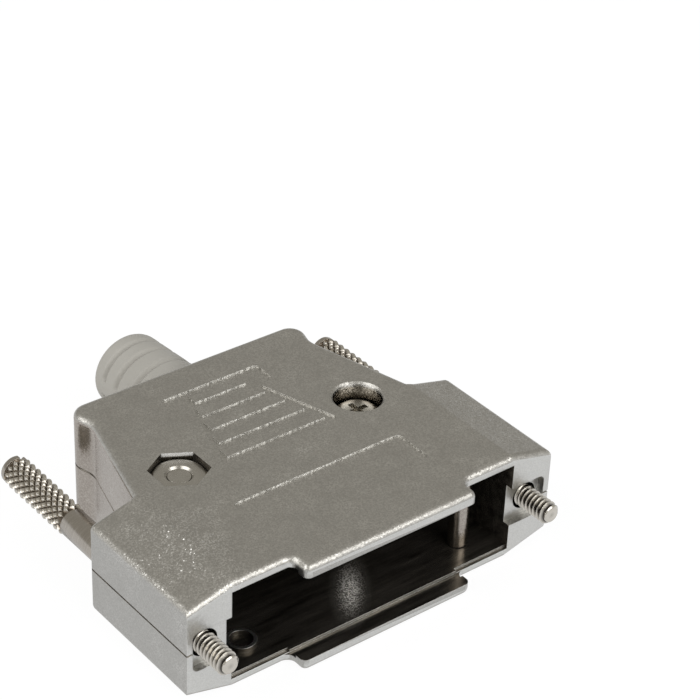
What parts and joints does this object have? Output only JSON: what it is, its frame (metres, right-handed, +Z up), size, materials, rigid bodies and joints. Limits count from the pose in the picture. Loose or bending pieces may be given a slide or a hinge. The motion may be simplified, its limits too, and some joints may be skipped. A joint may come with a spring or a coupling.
{
  "type": "D-sub connector hood",
  "caption": "Two-piece satin grey hood for a 25-way D-sub connector, with a ribbed cable boot and two captive knurled thumbscrews.",
  "frame": {"origin": "centre of the mating opening: on the parting plane, midway between the thumbscrews, level with the front faces of the ears", "axes": "+X to the right seen from the mating opening, +Y back towards the cable, +Z up from the parting plane"},
  "size_m": [0.053, 0.0567, 0.015],
  "materials": {
    "shell_plastic": "satin, metallised outside, glossy black inside",
    "boot_plastic": "smooth satin",
    "plated_metal": "bright nickel plate",
    "fastener_steel": "bright zinc plate",
    "spring_steel": "plain"
  },
  "bodies": {
    "hood": {"upper_shell": "shell_plastic", "lower_shell": "shell_plastic", "cable_boot": "boot_plastic", "shell_screw_right": "fastener_steel", "shell_screw_left": "fastener_steel", "shell_nut_right": "fastener_steel", "shell_nut_left": "fastener_steel", "cable_clamp_bar": "spring_steel", "clamp_bar_screw_left": "fastener_steel", "clamp_bar_screw_right": "fastener_steel"},
    "ring_left": {"retaining_ring_left": "spring_steel"},
    "ring_right": {"retaining_ring_right": "spring_steel"},
    "screw_left": {"thumbscrew_left": "plated_metal"},
    "screw_right": {"thumbscrew_right": "plated_metal"}
  },
  "joints": [
    {"name": "slide_left", "type": "slide", "parent": "hood", "child": "ring_left", "axis": [0, -1, 0], "range_m": [-0.0019, 0.00145]},
    {"name": "slide_right", "type": "slide", "parent": "hood", "child": "ring_right", "axis": [0, -1, 0], "range_m": [-0.0019, 0.00145]},
    {"name": "turn_left", "type": "hinge", "parent": "ring_left", "child": "screw_left", "pos_m": [-0.02352, 0, 0], "axis": [0, -1, 0], "continuous": true},
    {"name": "turn_right", "type": "hinge", "parent": "ring_right", "child": "screw_right", "pos_m": [0.02352, 0, 0], "axis": [0, -1, 0], "continuous": true}
  ]
}
